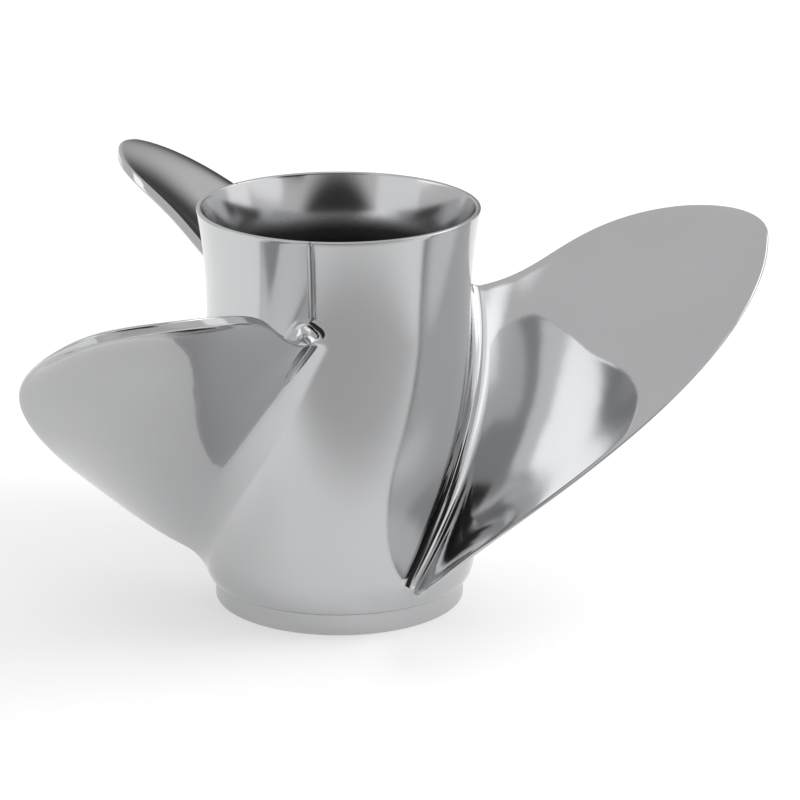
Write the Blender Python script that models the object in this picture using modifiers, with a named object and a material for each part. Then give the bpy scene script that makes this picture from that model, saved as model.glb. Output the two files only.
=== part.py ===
"""Three-blade stainless-steel outboard propeller with exhaust through its hub.

The propeller stands on its forward end.  Its axis is +Z, its aft end is up, and the
origin is on the axis at the forward face.  One blade points along +X.
Lengths are in metres, and MM turns a size in millimetres into metres.
"""
import math

import bmesh
import bpy

MM = 0.001

# Driving dimensions of the barrel
HUB_LENGTH = 177.5 * MM
FRONT_RADIUS = 60.3 * MM
AFT_TAPER = 3.8 * MM
FLARE_START = 128.0 * MM
FLARE_GROWTH = 5.2 * MM
THROAT_RADIUS = 55.6 * MM
WAIST_RADIUS = 53.1 * MM
BELL_START = 148.0 * MM
BELL_CURVE = 1.5
LIP_WIDTH = 2.2 * MM
SHOULDER_TOP = 22.0 * MM
STEP_HEIGHT = 10.0 * MM
SHOULDER_FOOT_RADIUS = 56.6 * MM
STEP_RADIUS = 55.2 * MM
RECESS_RADIUS = 51.6 * MM
RECESS_DEPTH = 14.0 * MM
EDGE_BREAK = 0.6 * MM

# Inner hub, ribs, bushing and sleeve
INNER_HUB_RADIUS = 30.5 * MM
INNER_HUB_BOTTOM = 9.0 * MM
INNER_HUB_TOP = 148.0 * MM
BUSHING_BORE = 26.3 * MM
BUSHING_STOP = 120.0 * MM
STOP_BORE = 22.0 * MM
RIB_COUNT = 3
RIB_WIDTH = 7.0 * MM
RIB_BOTTOM = 18.0 * MM
RIB_TOP = 138.0 * MM
RIB_GRIP = 1.2 * MM
RIB_FIRST_ANGLE = math.radians(-40.0)
FIT_GAP = 0.3 * MM
BUSHING_BOTTOM = 20.0 * MM
BUSHING_CHAMFER = 1.5 * MM
SLEEVE_RADIUS = 18.5 * MM
SLEEVE_BOTTOM = 13.0 * MM
SLEEVE_TOP = 132.0 * MM
SLEEVE_CHAMFER = 0.8 * MM
SPLINE_TEETH = 15
SPLINE_ROOT_RADIUS = 15.5 * MM
SPLINE_TIP_RADIUS = 13.7 * MM
SPLINE_GROOVE = 0.42
SPLINE_FLANK = 0.10
SPLINE_TOOTH = 0.38
CUTTER_REACH = 5.0 * MM

# Blades: radius in millimetres, angle in degrees and height in millimetres of each control
# point of an edge
BLADE_COUNT = 3
TIP_RADIUS = 186.2
TIP_HEIGHT = 166.7
TIP_RISE = 1.56
TRAILING_TIP_SWEEP = 8.8
LEADING_TIP_SWEEP = 16.0
TRAILING_EDGE = (
    (57.0, 17.6, 136.0),
    (99.4, 16.0, 138.4),
    (98.0, 11.1, 162.7),
    (124.0, 22.1, 166.0),
    (TIP_RADIUS, TRAILING_TIP_SWEEP, TIP_HEIGHT + TRAILING_TIP_SWEEP * TIP_RISE),
    (TIP_RADIUS, 0.0, TIP_HEIGHT),
)
LEADING_EDGE = (
    (60.1, -57.1, 18.8),
    (120.3, -73.4, 40.4),
    (121.1, -49.1, 81.5),
    (122.8, -26.5, 76.2),
    (145.2, -38.9, 93.3),
    (TIP_RADIUS, -LEADING_TIP_SWEEP, TIP_HEIGHT - LEADING_TIP_SWEEP * TIP_RISE),
    (TIP_RADIUS, 0.0, TIP_HEIGHT),
)
ROOT_CAMBER = -3.8 * MM
CAMBER_GROWTH = 52.0 * MM
CAMBER_DECLINE = 88.0 * MM
ROOT_THICKNESS = 10.0 * MM
TIP_THICKNESS = 3.0 * MM
TRAILING_THICKNESS = 4.2 * MM
LEADING_THICKNESS = 1.4 * MM
FILLET = 8.0 * MM
NOSE_FILLET = 4.0 * MM
ROOT_DEPTH = 1.5 * MM
CORNER = math.sqrt(0.5)

# Facets
BARREL_STEPS = 72
SHOULDER_STEPS = 4
TUBE_STEPS = 48
CHORD_STEPS = 12
FILLET_ROWS = (0.0, 0.006, 0.015, 0.03)
BLADE_ROWS = (0.06, 0.12, 0.2, 0.3, 0.4, 0.5, 0.6, 0.69, 0.77, 0.84, 0.9, 0.94, 0.97, 0.99, 0.998)
OUTER_HEIGHTS = (176.7, 172.0, 166.0, 160.0, 153.0, 146.0, 137.0, 128.0)
INNER_HEIGHTS = (24.0, 86.0, 148.0, 151.0, 155.0, 160.0, 166.0, 172.0)


def clear_scene():
    """Remove the objects that the scene starts with."""
    for item in list(bpy.data.objects):
        bpy.data.objects.remove(item, do_unlink=True)


def new_collection(name):
    """Make a collection in the scene."""
    group = bpy.data.collections.new(name)
    bpy.context.scene.collection.children.link(group)
    return group


def new_material(name, colour, roughness, metallic):
    """Make a plain Principled material."""
    material = bpy.data.materials.new(name)
    material.use_nodes = True
    shader = material.node_tree.nodes["Principled BSDF"]
    shader.inputs["Base Color"].default_value = (*colour, 1.0)
    shader.inputs["Roughness"].default_value = roughness
    shader.inputs["Metallic"].default_value = metallic
    return material


def new_object(name, mesh, group, material=None):
    """Put a mesh into the scene as a named object."""
    item = bpy.data.objects.new(name, mesh)
    group.objects.link(item)
    if material is not None:
        mesh.materials.append(material)
    return item


def hide_as_cutter(item):
    """Show an object that only shapes another one as wires, and keep it out of renders."""
    item.hide_render = True
    item.display_type = "WIRE"


def barrel_radius(height):
    """Outer radius of the barrel: round shoulder, slight taper and a flare at the aft end."""
    if height < SHOULDER_TOP:
        drop = min((SHOULDER_TOP - height) / (SHOULDER_TOP - STEP_HEIGHT), 1.0)
        inset = 1 - math.sqrt(1 - drop * drop)
        return FRONT_RADIUS - (FRONT_RADIUS - SHOULDER_FOOT_RADIUS) * inset
    radius = FRONT_RADIUS - AFT_TAPER * (height - SHOULDER_TOP) / (HUB_LENGTH - SHOULDER_TOP)
    if height > FLARE_START:
        rise = (height - FLARE_START) / (HUB_LENGTH - FLARE_START)
        radius += FLARE_GROWTH * rise * rise
    return radius


def bore_radius(height):
    """Inner radius of the barrel: narrowing to the waist, then opening out like a bell."""
    if height <= BELL_START:
        drop = (BELL_START - height) / (BELL_START - RECESS_DEPTH)
        return WAIST_RADIUS + (THROAT_RADIUS - WAIST_RADIUS) * drop
    rise = (height - BELL_START) / (HUB_LENGTH - BELL_START)
    mouth = barrel_radius(HUB_LENGTH) - LIP_WIDTH
    return WAIST_RADIUS + (mouth - WAIST_RADIUS) * rise ** BELL_CURVE


def barrel_profile():
    """Closed section of the barrel, down its outer side and up its inner side."""
    rim = barrel_radius(HUB_LENGTH)
    points = [(rim - LIP_WIDTH + EDGE_BREAK, HUB_LENGTH), (rim - EDGE_BREAK, HUB_LENGTH)]
    for height in OUTER_HEIGHTS:
        points.append((barrel_radius(height * MM), height * MM))
    for step in range(SHOULDER_STEPS + 1):
        turn = step / SHOULDER_STEPS * math.pi / 2
        height = SHOULDER_TOP - (SHOULDER_TOP - STEP_HEIGHT) * math.sin(turn)
        points.append((barrel_radius(height), height))
    points.append((STEP_RADIUS, STEP_HEIGHT))
    points.append((STEP_RADIUS, EDGE_BREAK))
    points.append((STEP_RADIUS - EDGE_BREAK, 0.0))
    points.append((RECESS_RADIUS, 0.0))
    points.append((RECESS_RADIUS, RECESS_DEPTH))
    for height in INNER_HEIGHTS:
        points.append((bore_radius(height * MM), height * MM))
    points.append((rim - LIP_WIDTH, HUB_LENGTH - EDGE_BREAK))
    return points


def turned(name, profile, steps, group, material=None):
    """Turn a closed profile about the axis with a Screw modifier."""
    mesh = bpy.data.meshes.new(name)
    count = len(profile)
    points = [(radius, 0.0, height) for radius, height in profile]
    edges = [(index, (index + 1) % count) for index in range(count)]
    mesh.from_pydata(points, edges, [])
    item = new_object(name, mesh, group, material)
    screw = item.modifiers.new("Turn", "SCREW")
    screw.axis = "Z"
    screw.steps = steps
    screw.render_steps = steps
    screw.use_merge_vertices = True
    screw.merge_threshold = 0.00001
    screw.use_smooth_shade = True
    return item


def tube_profile(outer, inner, bottom, top, chamfer):
    """Closed section of a tube whose outer edges are chamfered."""
    return [
        (inner, top),
        (outer - chamfer, top),
        (outer, top - chamfer),
        (outer, bottom + chamfer),
        (outer - chamfer, bottom),
        (inner, bottom),
    ]


def bezier(points, place):
    """Point of a Bezier curve at a place from 0 to 1."""
    degree = len(points) - 1
    result = [0.0, 0.0, 0.0]
    for index, point in enumerate(points):
        weight = math.comb(degree, index) * place ** index * (1 - place) ** (degree - index)
        for axis in range(3):
            result[axis] += weight * point[axis]
    return result[0] * MM, math.radians(result[1]), result[2] * MM


def pressure_face(span, chord):
    """Radius, angle and height of the aft face.

    span runs from 0 at the root to 1 at the tip, and chord from 0 at the trailing edge
    to 1 at the leading edge.
    """
    trailing = bezier(TRAILING_EDGE, span)
    leading = bezier(LEADING_EDGE, span)
    radius, angle, height = ((1 - chord) * a + chord * b for a, b in zip(trailing, leading))
    camber = ROOT_CAMBER + CAMBER_GROWTH * span - CAMBER_DECLINE * span ** 2
    height -= camber * (1 - span ** 4) ** 2 * 4 * chord * (1 - chord)
    return radius, angle, height


def thickness(span, chord):
    """Blade thickness: fullest in the middle, and thinner at the leading edge than at the other."""
    edge = TRAILING_THICKNESS + (LEADING_THICKNESS - TRAILING_THICKNESS) * chord
    middle = ROOT_THICKNESS + (TIP_THICKNESS - ROOT_THICKNESS) * math.sqrt(span)
    middle = max(middle, edge)
    return edge + (middle - edge) * 4 * chord * (1 - chord)


def root_flare(near):
    """Share of its full width that the root fillet has, at a share of the way up it."""
    return 1 - math.sqrt(1 - (1 - near) ** 2)


def chord_direction(span, chord):
    """Unit step from trailing to leading edge on the unrolled cylinder: across and upwards."""
    before = pressure_face(span, max(chord - 0.01, 0.0))
    after = pressure_face(span, min(chord + 0.01, 1.0))
    across = (after[1] - before[1]) * before[0]
    upwards = after[2] - before[2]
    size = math.hypot(across, upwards)
    return across / size, upwards / size


def skin_point(span, chord, depth, outwards, sink):
    """A point of the blade's skin, pushed out by the root fillet.

    depth is how far the point lies forward of the aft face.  outwards is how far the full
    fillet pushes it: along the chord, and forward.  sink moves it into the barrel's wall.
    """
    radius, angle, height = pressure_face(span, chord)
    clearance = radius - barrel_radius(height) if span > 0.0 else 0.0
    near = min(max(clearance / FILLET, 0.0), 1.0)
    flare = root_flare(near)
    across, upwards = chord_direction(span, chord)
    along = outwards[0] * flare
    forward = depth + outwards[1] * flare
    angle += (along * across - forward * upwards) / radius
    settled = height + along * upwards + forward * across
    follow = (barrel_radius(settled) - barrel_radius(height)) * (1 - near)
    radius = barrel_radius(height) + clearance + follow - sink
    return radius * math.cos(angle), radius * math.sin(angle), settled


def blade_section(span, sink=0.0):
    """Loop round the blade: aft face, leading edge, forward face and trailing edge."""
    aft = []
    forward = []
    for step in range(CHORD_STEPS + 1):
        chord = step / CHORD_STEPS
        depth = thickness(span, chord)
        end, face = 0.0, FILLET
        if step == 0:
            end, face = -CORNER * FILLET, CORNER * FILLET
        elif step == CHORD_STEPS:
            end = CORNER * NOSE_FILLET
        aft.append(skin_point(span, chord, 0.0, (end, -face), sink))
        forward.append(skin_point(span, chord, depth, (end, face), sink))
    nose = skin_point(span, 1.0, thickness(span, 1.0) / 2, (NOSE_FILLET, 0.0), sink)
    tail = skin_point(span, 0.0, thickness(span, 0.0) / 2, (-FILLET, 0.0), sink)
    return aft + [nose] + forward[::-1] + [tail]


def cap_section(shape, ring):
    """Close a section with narrow faces from its aft side to its forward side."""
    last = len(ring) - 2
    shape.faces.new((ring[-1], ring[0], ring[last]))
    for index in range(CHORD_STEPS):
        shape.faces.new((ring[index], ring[index + 1], ring[last - index - 1], ring[last - index]))
    shape.faces.new((ring[CHORD_STEPS], ring[CHORD_STEPS + 1], ring[CHORD_STEPS + 2]))


def loft(name, sections):
    """Skin a row of blade sections and cap both ends."""
    shape = bmesh.new()
    rings = [[shape.verts.new(point) for point in section] for section in sections]
    count = len(rings[0])
    for lower, upper in zip(rings, rings[1:]):
        for index in range(count):
            after = (index + 1) % count
            face = shape.faces.new((lower[index], lower[after], upper[after], upper[index]))
            face.smooth = True
    cap_section(shape, rings[0])
    cap_section(shape, rings[-1])
    bmesh.ops.recalc_face_normals(shape, faces=shape.faces)
    mesh = bpy.data.meshes.new(name)
    shape.to_mesh(mesh)
    shape.free()
    return mesh


def blade_mesh():
    """One blade with its root fillet, reaching into the barrel's wall."""
    sections = [blade_section(0.0, ROOT_DEPTH)]
    for span in FILLET_ROWS + BLADE_ROWS:
        sections.append(blade_section(span))
    return loft("blade", sections)


def rib_mesh():
    """One rib between the inner hub and the barrel, as a box."""
    inner = (INNER_HUB_RADIUS + BUSHING_BORE) / 2
    outer = bore_radius(RIB_BOTTOM) + RIB_GRIP
    shape = bmesh.new()
    bmesh.ops.create_cube(shape, size=1.0)
    bmesh.ops.scale(shape, vec=(outer - inner, RIB_WIDTH, RIB_TOP - RIB_BOTTOM), verts=shape.verts)
    middle = ((outer + inner) / 2, 0.0, (RIB_TOP + RIB_BOTTOM) / 2)
    bmesh.ops.translate(shape, vec=middle, verts=shape.verts)
    mesh = bpy.data.meshes.new("rib")
    shape.to_mesh(mesh)
    shape.free()
    return mesh


def join(item, other):
    """Add another solid to an object with a Boolean union."""
    union = item.modifiers.new("Join " + other.name, "BOOLEAN")
    union.operation = "UNION"
    union.solver = "EXACT"
    union.object = other
    hide_as_cutter(other)


def make_casting(group, helpers, steel):
    """Barrel, inner hub, ribs and blades, cast in one piece."""
    casting = turned("propeller_casting", barrel_profile(), BARREL_STEPS, group, steel)
    hub_profile = [
        (STOP_BORE, INNER_HUB_TOP),
        (INNER_HUB_RADIUS - 2 * EDGE_BREAK, INNER_HUB_TOP),
        (INNER_HUB_RADIUS, INNER_HUB_TOP - 2 * EDGE_BREAK),
        (INNER_HUB_RADIUS, INNER_HUB_BOTTOM + EDGE_BREAK),
        (INNER_HUB_RADIUS - EDGE_BREAK, INNER_HUB_BOTTOM),
        (BUSHING_BORE, INNER_HUB_BOTTOM),
        (BUSHING_BORE, BUSHING_STOP),
        (STOP_BORE, BUSHING_STOP),
    ]
    inner_hub = turned("inner_hub_form", hub_profile, TUBE_STEPS, helpers)
    rib = rib_mesh()
    for index in range(RIB_COUNT):
        form = new_object("rib_form_%d" % (index + 1), rib, helpers)
        form.rotation_euler.z = RIB_FIRST_ANGLE + index * math.tau / RIB_COUNT
        join(inner_hub, form)
    join(casting, inner_hub)
    blade = blade_mesh()
    for index in range(BLADE_COUNT):
        form = new_object("blade_form_%d" % (index + 1), blade, helpers)
        form.rotation_euler.z = index * math.tau / BLADE_COUNT
        join(casting, form)
    return casting


def make_bushing(group, rubber):
    """Rubber ring that carries the sleeve in the inner hub."""
    outer = BUSHING_BORE - FIT_GAP
    inner = SLEEVE_RADIUS + FIT_GAP
    top = BUSHING_STOP - FIT_GAP
    profile = tube_profile(outer, inner, BUSHING_BOTTOM, top, BUSHING_CHAMFER)
    return turned("rubber_bushing", profile, TUBE_STEPS, group, rubber)


def spline_outline():
    """Points of the splined bore: straight-sided teeth that point inwards."""
    points = []
    pitch = math.tau / SPLINE_TEETH
    tooth_start = SPLINE_GROOVE + SPLINE_FLANK
    corners = (
        (0.0, SPLINE_ROOT_RADIUS),
        (SPLINE_GROOVE, SPLINE_ROOT_RADIUS),
        (tooth_start, SPLINE_TIP_RADIUS),
        (tooth_start + SPLINE_TOOTH, SPLINE_TIP_RADIUS),
    )
    for tooth in range(SPLINE_TEETH):
        for share, radius in corners:
            angle = (tooth + share) * pitch
            points.append((radius * math.cos(angle), radius * math.sin(angle)))
    return points


def prism(name, outline, bottom, top, group):
    """Straight solid on a flat outline, as an extruded 2D curve made into a mesh."""
    flat = bpy.data.curves.new(name, "CURVE")
    flat.dimensions = "2D"
    flat.fill_mode = "BOTH"
    flat.extrude = (top - bottom) / 2
    edge = flat.splines.new("POLY")
    edge.points.add(len(outline) - 1)
    for point, place in zip(edge.points, outline):
        point.co = (place[0], place[1], 0.0, 1.0)
    edge.use_cyclic_u = True
    drawn = bpy.data.objects.new(name + "_curve", flat)
    drawn.location.z = (top + bottom) / 2
    group.objects.link(drawn)
    bpy.context.view_layer.update()
    graph = bpy.context.evaluated_depsgraph_get()
    mesh = bpy.data.meshes.new_from_object(drawn.evaluated_get(graph))
    shape = bmesh.new()
    shape.from_mesh(mesh)
    bmesh.ops.remove_doubles(shape, verts=shape.verts, dist=0.00001)
    bmesh.ops.recalc_face_normals(shape, faces=shape.faces)
    shape.to_mesh(mesh)
    shape.free()
    item = new_object(name, mesh, group)
    item.matrix_world = drawn.matrix_world
    bpy.data.objects.remove(drawn, do_unlink=True)
    return item


def make_sleeve(group, helpers, brass):
    """Brass sleeve with the splines that the shaft turns."""
    bore = SPLINE_TIP_RADIUS - (SPLINE_ROOT_RADIUS - SPLINE_TIP_RADIUS) / 2
    profile = tube_profile(SLEEVE_RADIUS, bore, SLEEVE_BOTTOM, SLEEVE_TOP, SLEEVE_CHAMFER)
    sleeve = turned("splined_sleeve", profile, TUBE_STEPS, group, brass)
    bottom = SLEEVE_BOTTOM - CUTTER_REACH
    top = SLEEVE_TOP + CUTTER_REACH
    cutter = prism("spline_cutter", spline_outline(), bottom, top, helpers)
    hide_as_cutter(cutter)
    cut = sleeve.modifiers.new("Splines", "BOOLEAN")
    cut.operation = "DIFFERENCE"
    cut.solver = "EXACT"
    cut.object = cutter
    return sleeve


def main():
    """Build the propeller."""
    clear_scene()
    group = new_collection("outboard_propeller")
    helpers = new_collection("shaping_solids")
    steel = new_material("polished_steel", (0.62, 0.62, 0.63), 0.12, 1.0)
    rubber = new_material("black_rubber", (0.02, 0.02, 0.02), 0.8, 0.0)
    brass = new_material("brass", (0.6, 0.45, 0.2), 0.35, 1.0)
    make_casting(group, helpers, steel)
    make_bushing(group, rubber)
    make_sleeve(group, helpers, brass)


main()
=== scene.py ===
"""Polished three-blade outboard propeller, laid out as a Blender add-on.

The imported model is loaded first, as a fixed frame in metres: +Z runs along the shaft
towards the aft end, and the origin is on the shaft's axis at the forward face.  Each
operator adds one piece or one group of like pieces in that frame, and the stage operator
adds the floor, the light and the camera.
"""
import math
from collections import namedtuple

import bpy
from bpy.props import FloatProperty, FloatVectorProperty, IntProperty, PointerProperty
from mathutils import Euler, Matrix, Vector, geometry, kdtree


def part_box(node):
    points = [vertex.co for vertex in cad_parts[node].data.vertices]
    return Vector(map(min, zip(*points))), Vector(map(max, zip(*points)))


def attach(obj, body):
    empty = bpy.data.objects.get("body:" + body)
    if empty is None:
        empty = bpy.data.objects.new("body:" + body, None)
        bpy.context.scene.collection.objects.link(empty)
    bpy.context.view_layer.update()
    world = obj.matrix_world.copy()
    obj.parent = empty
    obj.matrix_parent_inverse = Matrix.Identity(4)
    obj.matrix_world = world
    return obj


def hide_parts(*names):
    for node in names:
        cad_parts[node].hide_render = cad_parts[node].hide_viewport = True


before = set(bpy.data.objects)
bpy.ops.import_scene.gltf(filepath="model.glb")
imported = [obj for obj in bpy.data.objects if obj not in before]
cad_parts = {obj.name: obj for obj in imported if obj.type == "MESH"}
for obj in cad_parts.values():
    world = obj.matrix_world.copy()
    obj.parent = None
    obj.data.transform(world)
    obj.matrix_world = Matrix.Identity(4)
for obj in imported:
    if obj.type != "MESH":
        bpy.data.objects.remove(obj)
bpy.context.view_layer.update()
CASTING_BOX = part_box("propeller_casting")

bl_info = {
    "name": "Outboard Propeller",
    "version": (1, 0, 0),
    "blender": (4, 5, 0),
    "location": "View3D > Sidebar > Propeller",
    "description": "Builds a polished three-blade outboard propeller and its studio",
    "category": "Add Mesh",
}

MM = 0.001

# Edges of a blade: radius in millimetres, angle in degrees and height in millimetres of
# each control point of a Bezier curve from the root to the tip.  Both curves end at the
# tip on one slope, which climbs by TIP_RISE millimetres for each degree.
TIP_RADIUS = 186.0
TIP_HEIGHT = 166.7
TIP_RISE = 1.56
TRAILING_TIP_SWEEP = 8.8
LEADING_TIP_SWEEP = 16.0
TRAILING_EDGE = (
    (57.0, 17.6, 136.0),
    (99.4, 16.0, 138.4),
    (98.0, 11.1, 162.7),
    (124.0, 22.1, 166.0),
    (TIP_RADIUS, TRAILING_TIP_SWEEP, TIP_HEIGHT + TRAILING_TIP_SWEEP * TIP_RISE),
    (TIP_RADIUS, 0.0, TIP_HEIGHT),
)
LEADING_EDGE = (
    (60.1, -57.1, 18.8),
    (120.3, -73.4, 40.4),
    (121.1, -49.1, 81.5),
    (122.8, -26.5, 76.2),
    (145.2, -38.9, 93.3),
    (TIP_RADIUS, -LEADING_TIP_SWEEP, TIP_HEIGHT - LEADING_TIP_SWEEP * TIP_RISE),
    (TIP_RADIUS, 0.0, TIP_HEIGHT),
)

# Light and dark patches of the studio, each laid over those before it.  Direction, width,
# rise and height are in degrees.  The direction is counted from +X towards +Y, width and
# height run from a patch's centre to its sides, softness says how widely its edge fades,
# and level is its brightness.  No patch crosses the seam opposite the front.
Patch = namedtuple("Patch", "direction width rise height shape softness level")
FRONT = -50.0
STUDIO = (
    Patch(direction=-144, width=21, rise=14.5, height=11, shape="box", softness=0.4, level=1.15),
    Patch(direction=-19, width=20, rise=19.3, height=8.5, shape="box", softness=0.5, level=1.33),
    Patch(direction=8.4, width=13, rise=9.4, height=9, shape="ellipse", softness=0.5, level=1.35),
    Patch(direction=177, width=20.5, rise=20.3, height=7, shape="box", softness=0.4, level=1.8),
    Patch(direction=-89, width=51, rise=54, height=9.5, shape="box", softness=0.4, level=1.25),
    Patch(direction=-97, width=20, rise=58, height=8, shape="ellipse", softness=0.8, level=1.8),
    Patch(direction=-41.6, width=20.7, rise=35.5, height=13, shape="box", softness=0.4, level=0.7),
    Patch(direction=-9, width=15, rise=41, height=12, shape="box", softness=0.75, level=1.8),
    Patch(direction=21, width=25.4, rise=37, height=9.3, shape="box", softness=0.6, level=3.2),
    Patch(direction=38, width=13, rise=23.8, height=4.2, shape="box", softness=0.5, level=0.62),
    Patch(direction=-130, width=11.5, rise=41, height=8, shape="ellipse", softness=0.5, level=1.5),
    Patch(direction=-85, width=31.5, rise=29.6, height=5, shape="box", softness=0.13, level=0.04),
    Patch(direction=-47, width=13, rise=24.4, height=4.8, shape="box", softness=0.14, level=0.04),
    Patch(direction=-92, width=19, rise=35.2, height=4.7, shape="box", softness=0.2, level=0.02),
    Patch(direction=-88, width=38, rise=-8, height=31, shape="ellipse", softness=0.3, level=0.04),
    Patch(direction=73, width=25, rise=-3, height=21.5, shape="ellipse", softness=0.9, level=0.07),
)

# Facets
BARREL_STEPS = 360
TUBE_STEPS = 144
CORNER_STEPS = 5
FLARE_STEPS = 24
WALL_STEPS = 20
SHOULDER_STEPS = 16
BORE_STEPS = 12
BELL_STEPS = 36
FACE_STEPS = 46
EDGE_STEPS = 7
BAND_STEPS = 3
FILLET_STEPS = 12
BLADE_ROWS = 64
EDGE_SAMPLES = 1500
RIB_CUTS = 23
TOOTH_STEPS = 10
FLOOR_STEPS = 96

# Largest share of a side that a round corner takes, and how far the rows of the barrel's
# wall stay clear of its round corners
CORNER_SHARE = 0.49
LIP_GAP = 2.0 * MM
MOUTH_GAP = 1.2 * MM
THROAT_GAP = 9.0 * MM

# Parting lines: where they start and end, how they fade at both ends, from how many
# degrees round and by what share the vertices are drawn towards them, and the share of the
# lip's width that a pressed vertex lies outside the bore
CREASE_BOTTOM = 120.0 * MM
CREASE_TOP_GAP = 1.0 * MM
CREASE_FADE_IN = 10.0 * MM
CREASE_FADE_OUT = 2.0 * MM
CREASE_DRAW_ANGLE = 3.0
CREASE_DRAW_SHARE = 0.72
CREASE_WALL_SHARE = 0.6

# Painted shade in the parting lines: distance from the line and height over which it fades
CREASE_SHADE_EDGE = (0.15 * MM, 0.55 * MM)
CREASE_SHADE_FADE = (124.0 * MM, 134.0 * MM)

# Bell: heights between which the cast surface turns into polished steel, and how far that
# limit wanders
POLISH_EDGE = (155.0 * MM, 165.0 * MM)
POLISH_WANDER = 5.0 * MM

# How near a face lies to the ring's or the bore's wall to take its finish
RING_MARGIN = 0.9 * MM
BORE_MARGIN = 0.4 * MM

# Blades: step along the chord for its direction, widest span of the root and the halvings
# that search it, place of the last row, and the two rows that run into the barrel: how
# deep they lie and how wide the fillet spreads
CHORD_STEP = 0.01
ROOT_SPAN = 0.3
HALVINGS = 30
LAST_ROW = 0.93
ROOT_SINK = 1.5 * MM
FILLET_SINK = 0.03 * MM
FILLET_FLARE = 1.12

# Ribs: overlap with hub and barrel, height above the ribs' ends where the bore is
# measured, length and share of the flare at a rib's feet, and depth into the barrel
RIB_OVERLAP = 1.5 * MM
RIB_GAUGE = 8.0 * MM
RIB_FLARE = 6.0 * MM
RIB_SPREAD = 0.7
RIB_BITE = 1.2 * MM

# Splines: shares of the pitch in half a tooth's tip and in one flank, wall that is left
# for the cutter, its reach past the sleeve, and the chamfer
TOOTH_TIP_SHARE = 0.17
TOOTH_FLANK_SHARE = 0.12
BORE_STOCK = 2.0 * MM
CUTTER_REACH = 4.0 * MM
CHAMFER = 1.2 * MM

# Stage: floor in metres, and direction and rise of the soft light in degrees
FLOOR_RADIUS = 6.0
FLOOR_GAP = 0.05 * MM
KEY_DIRECTION = 15.0
KEY_RISE = 50.0


def length(name, millimetres, description):
    """Property for a length whose default is given in millimetres."""
    return FloatProperty(name=name, description=description, default=millimetres * MM,
                         min=0.0, precision=5, subtype="DISTANCE", unit="LENGTH")


def factor(name, value, description):
    """Property for a share from 0 to 1."""
    return FloatProperty(name=name, description=description, default=value,
                         min=0.0, max=1.0, subtype="FACTOR")


def angle(name, degrees, description):
    """Property for an angle whose default is given in degrees."""
    return FloatProperty(name=name, description=description, default=math.radians(degrees),
                         subtype="ANGLE", unit="ROTATION")


def colour(name, value, description):
    """Property for a linear colour."""
    return FloatVectorProperty(name=name, description=description, default=value,
                               min=0.0, max=4.0, size=3, subtype="COLOR")


class BarrelSettings(bpy.types.PropertyGroup):
    """Sizes of the barrel"""

    height: length("Length", CASTING_BOX[1][2] / MM, "From the forward face to the aft lip")
    front_radius: length("Front radius", 60.3, "Outer radius where the shoulder ends")
    taper: length("Taper", 3.8, "How much the radius falls from the shoulder to the aft lip")
    flare_start: length("Flare start", 128.0, "Height where the outer flare starts")
    flare_growth: length("Flare growth", 5.2, "How much the flare adds to the radius at the lip")
    throat_radius: length("Throat radius", 55.6, "Inner radius next to the recess")
    waist_radius: length("Waist radius", 53.1, "Inner radius where the inside starts to open out")
    bell_curve: FloatProperty(name="Bell curve", description="Power by which the inside opens out",
                              default=1.5, min=1.0)
    lip_width: length("Lip width", 2.2, "Width of the flat lip at the aft end")
    bell_start: length("Bell start", 148.0, "Height where the inside starts to open out")
    shoulder_top: length("Shoulder top", 22.0, "Height where the round shoulder ends")
    step_height: length("Step height", 10.0, "Height of the step ring at the forward end")
    foot_radius: length("Shoulder foot radius", 56.6, "Radius where the shoulder meets the step")
    step_radius: length("Step radius", 55.2, "Outer radius of the step ring")
    recess_radius: length("Recess radius", 51.6, "Inner radius of the step ring")
    recess_depth: length("Recess depth", 14.0, "Depth of the recess in the forward end")
    crease_depth: length("Crease depth", 0.25, "Depth of the parting line aft of each blade")
    crease_width: length("Crease width", 0.38, "Half width of the parting line")
    crease_angle: angle("Crease angle", 19.8, "Angle of the parting line from its blade's tip")


class BladeSettings(bpy.types.PropertyGroup):
    """Sizes of the blades"""

    count: IntProperty(name="Blades", description="Number of blades", default=3, min=1)
    root_crown: length("Root crown", 3.8, "Crown of the aft face at the root")
    camber_growth: length("Camber growth", 52.0, "How fast the face hollows out from the root")
    camber_decline: length("Camber decline", 88.0,
                           "How fast the hollow turns into a crown further out")
    root_thickness: length("Root thickness", 10.0, "Thickness in the middle of the root")
    tip_thickness: length("Tip thickness", 3.0, "Thickness in the middle near the tip")
    trailing_thickness: length("Trailing thickness", 4.2, "Thickness of the trailing edge")
    leading_thickness: length("Leading thickness", 1.4, "Thickness of the leading edge")
    trailing_round: length("Trailing round", 0.8, "Corner radius of the trailing edge")
    fillet: length("Fillet", 8.0, "Radius of the fillet between blade and barrel")
    nose_fillet: length("Nose fillet", 4.0, "Reach of the fillet ahead of the leading edge")


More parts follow.
